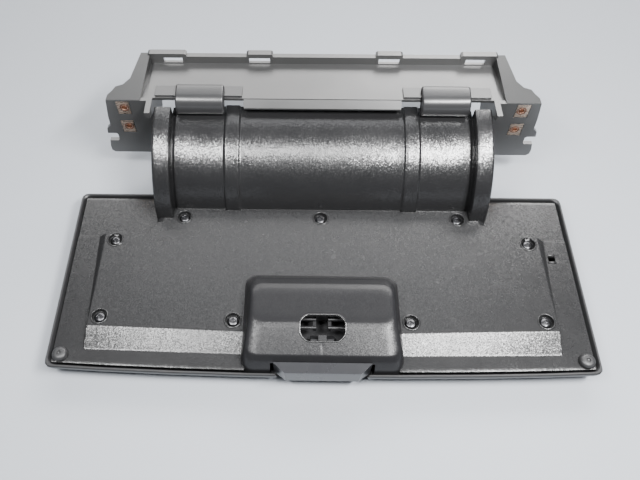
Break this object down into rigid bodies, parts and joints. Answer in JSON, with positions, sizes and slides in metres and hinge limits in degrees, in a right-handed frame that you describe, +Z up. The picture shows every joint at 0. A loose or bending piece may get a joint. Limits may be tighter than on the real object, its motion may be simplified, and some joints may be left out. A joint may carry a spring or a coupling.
{
  "type": "glove box lid with hinge bracket",
  "caption": "Glove box lid with a screwed inner panel, sprung latch handle and a quarter-round drum that turns under the guide hooks of its dash bracket.",
  "frame": {"origin": "middle of the base: centre of the bounding box in X and Y, on the surface that the lid lies on", "axes": "+X along the hinge axis to the right as seen from the handle, +Y from the handle towards the dash bracket, +Z up, away from the lid's outer face"},
  "size_m": [0.4084, 0.2546, 0.098],
  "materials": {
    "bracket_plastic": "smooth satin black moulding",
    "panel_plastic": "fine pebble grain, satin",
    "drum_plastic": "leather grain, semi-gloss",
    "skin_plastic": "soft matt grain",
    "handle_plastic": "smooth satin",
    "rubber": "matt",
    "steel": "dark zinc",
    "copper": "copper-coloured sheet",
    "acetal": "natural white acetal"
  },
  "bodies": {
    "bracket": {"clip_nut_lower_left": "copper", "clip_nut_lower_right": "copper", "clip_nut_upper_left": "copper", "clip_nut_upper_right": "copper", "dash_bracket": "bracket_plastic", "guide_hook_left": "bracket_plastic", "guide_hook_right": "bracket_plastic", "hinge_pin_left": "steel", "hinge_pin_right": "steel"},
    "handle": {"pull_handle": "handle_plastic"},
    "bolt": {"latch_bolt": "bracket_plastic"},
    "lid": {"bumper_left": "rubber", "bumper_right": "rubber", "drum": "drum_plastic", "handle_pivot_pin": "steel", "handle_spring": "steel", "hinge_bush_left": "acetal", "hinge_bush_right": "acetal", "housing_screw_1": "steel", "housing_screw_2": "steel", "inner_panel": "panel_plastic", "latch_housing": "bracket_plastic", "outer_skin": "skin_plastic", "panel_screw_1": "steel", "panel_screw_2": "steel", "panel_screw_3": "steel", "panel_screw_4": "steel", "panel_screw_5": "steel", "panel_screw_6": "steel", "panel_screw_7": "steel", "panel_screw_8": "steel", "panel_screw_9": "steel"}
  },
  "joints": [
    {"name": "lid_hinge", "type": "hinge", "parent": "bracket", "child": "lid", "pos_m": [0, 0.0813, 0.01], "axis": [-1, 0, 0], "range_deg": [0, 60]},
    {"name": "handle_pull", "type": "hinge", "parent": "lid", "child": "handle", "pos_m": [0, -0.1057, 0.014], "axis": [1, 0, 0], "range_deg": [0, 16], "stiffness_Nm_per_rad": 0.4, "springref_deg": -11.46, "deforming": ["handle_spring"]},
    {"name": "bolt_slide", "type": "slide", "parent": "lid", "child": "bolt", "axis": [0, -1, 0], "range_m": [0, 0.0034]}
  ],
  "couplings": [
    {"joint": "bolt_slide", "follows": "handle_pull", "m_per_rad": 0.012}
  ]
}
